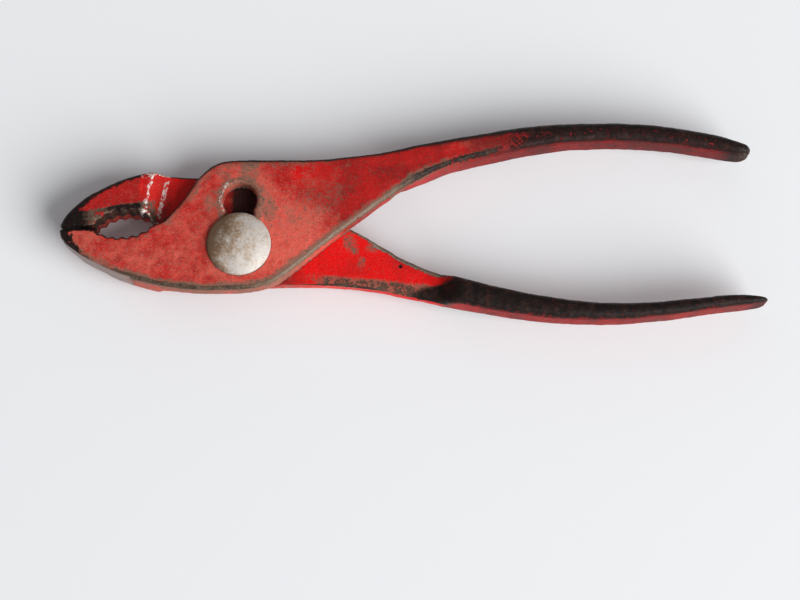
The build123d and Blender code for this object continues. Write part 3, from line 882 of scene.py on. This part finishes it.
# %% [markdown]
# ## Tumbled, tarnished steel
# The bolt was never painted. Its crown is polished by use to a pale silver-grey with a web of fine
# scratches, while a brown-green stain darkens one side and the rim: part grease and rust, part painted shade
# of the side and rim that turn away from the lamp. Large noise places the stain, middling noise mottles the
# steel, and a stretched fine noise scratches it. The nut has the same steel, darker, because it is never
# handled.

# %% The steel material
PALE_STEEL = (0.55, 0.505, 0.465)
WARM_STEEL = (0.40, 0.275, 0.175)
# STAIN_AND_SHADE is grease and rust, and painted shade on the side turned away from the lamp.
STAIN_AND_SHADE = (0.145, 0.078, 0.038)


def tarnished_steel(name, stain_and_shade_at, stain_and_shade_reach, darkness, rim_at):
    """Mottled steel with a stain round one place and a dark rim, in millimetres; on the bolt, stain and rim
    are partly painted shade.
    """
    f = Finish(name)
    centre = tuple(c * MM for c in stain_and_shade_at)
    distance = f.node("ShaderNodeVectorMath", {"operation": "DISTANCE"}, {0: f.place, 1: centre}, "Value")
    close = 1 - distance / (stain_and_shade_reach * MM)
    in_plan = f.node("ShaderNodeVectorMath", {"operation": "MULTIPLY"}, {0: f.place, 1: (1, 1, 0)})
    out = f.node("ShaderNodeVectorMath", {"operation": "LENGTH"}, {0: in_plan}, "Value")
    # rim_stain_and_shade darkens the head's rim: painted shade under the edge, with some stain.
    rim_stain_and_shade = f.between(out, (rim_at - 2.2) * MM, rim_at * MM)
    mottle = f.grain(2.7 * MM, 5, 0.60)
    spot = f.grain(0.6 * MM, 4, 0.6, 0.5)
    long_way = f.node("ShaderNodeVectorMath", {"operation": "MULTIPLY"}, {0: f.place, 1: (1.0, 0.16, 1.0)})
    scratch = f.grain(0.35 * MM, 2, 0.5, 0.9, long_way)
    # stain darkens one side; on the bolt this is partly painted shade.
    stain_and_shade = f.between(close * 1.3 + (mottle - 0.5) * 1.3 + (spot - 0.5) * 0.8
                      + rim_stain_and_shade * 0.62 + darkness, 0.02, 0.85)
    patina = f.between(mottle + close * 0.30 + rim_stain_and_shade * 0.12 + (spot - 0.5) * 0.7
                       + darkness * 0.4, 0.34, 0.74)
    clean = f.mix(patina, PALE_STEEL, WARM_STEEL)
    colour = f.mix(stain_and_shade * 0.92, clean, STAIN_AND_SHADE)
    rough = 0.60 + patina * 0.10 + stain_and_shade * 0.10 + (scratch - 0.5) * 0.22
    metal = 0.22 - stain_and_shade * 0.1
    relief = mottle * 0.5 + spot * 0.35 + scratch * 0.16
    return f.done(colour, rough, metal, relief, 0.10 * MM)


# The bolt's stain sits on the left, the side away from the lamp, as painted shade and grease.
bolt.data.materials.append(tarnished_steel("tumbled_bolt_steel", (-8.2, 3.2, SEAT + 1), 9.5, 0.0, HEAD_R))
nut.data.materials.append(tarnished_steel("tarnished_nut_steel", (0, 0, 2), 6.0, 0.12, 8.0))
print("steels:", bolt.data.materials[0].name, "and", nut.data.materials[0].name)

# %% [markdown]
# ## Seating the pieces
# Each piece rides on the body that carries it and stands in for its CAD node, which is hidden.

# %% Ride, replace, slot
for piece, node, body in ((front, "front_half", "front_half"), (rear, "rear_half", "rear_half"),
                          (bolt, "pivot_bolt", "pivot"), (nut, "pivot_nut", "pivot")):
    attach(piece, body)
    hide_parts(node)
    print(piece.name, "rides on", body)

# %% [markdown]
# ## Floor, light and camera
# The tool lies on a plain pale sheet. A sheet could have an edge in view or a swept-up back; this one is
# simply wider than any view needs. Its colour is a very light grey, with a faint tooth like paper.

# %% The sheet
bpy.ops.object.select_all(action="DESELECT")
bpy.ops.mesh.primitive_plane_add(size=4.0, location=(0, 0, 0))
sheet = bpy.context.active_object
sheet.name = "pale_sheet"
paper = Finish("pale_paper")
tooth = paper.grain(1.4 * MM, 3)
sheet.data.materials.append(paper.done(paper.mix(tooth * 0.05, (0.80, 0.81, 0.825), (0.70, 0.71, 0.72)),
                                       0.85, 0.0))
print("sheet", round(sheet.dimensions.x, 1), "m wide, at height", sheet.location.z)


# %% [markdown]
# ## The light
# One broad round lamp stands to the right and somewhat to the front, so the flanks that face the viewer
# are lit and the far edges go dark, as by a large window. A pale, dim sky fills the shadows. A lamp
# overhead was tried and left out: it laid a veil of gloss over the red.

# %% Soft lights
def soft_light(name, place, aim, size, power):
    light = bpy.data.lights.new(name, "AREA")
    light.shape = "DISK"
    light.size, light.energy = size, power
    lamp = bpy.data.objects.new(name, light)
    bpy.context.scene.collection.objects.link(lamp)
    lamp.location = place
    lamp.rotation_euler = (Vector(aim) - Vector(place)).to_track_quat("-Z", "Y").to_euler()


middle = (0.04, 0.0, 0.01)
LIGHT_AT = (2.25, -1.61, 1.86)
LIGHT_SIZE, LIGHT_POWER = 3.0, 168
SKY_STRENGTH = 0.32
soft_light("window", LIGHT_AT, middle, LIGHT_SIZE, LIGHT_POWER)
sky = bpy.data.worlds.new("dim_room")
sky.use_nodes = True
sky.node_tree.nodes["Background"].inputs["Color"].default_value = (0.97, 0.98, 1.0, 1)
sky.node_tree.nodes["Background"].inputs["Strength"].default_value = SKY_STRENGTH
bpy.context.scene.world = sky
bpy.context.scene.view_settings.view_transform = "Standard"
light_reach = (Vector(LIGHT_AT) - Vector(middle)).length
print("light", round(LIGHT_SIZE, 2), "m across,", round(light_reach, 2), "m away")

# %% [markdown]
# ## The camera
# It looks steeply down from the front, 12.5 degrees off the vertical, through a long lens, which keeps
# the handles' curves true.

# %% The camera
TILT = 12.5
camera_data = bpy.data.cameras.new("camera")
camera_data.lens = 88.57
camera_data.sensor_width = 36
camera = bpy.data.objects.new("camera", camera_data)
bpy.context.scene.collection.objects.link(camera)
camera.location = (0.03749, -0.11184, 0.4569)
camera.rotation_euler = (math.radians(TILT), 0, 0)
bpy.context.scene.camera = camera
print("camera stands", round(camera.location.length, 3), "m from the pivot")

# %% [markdown]
# ## Closing
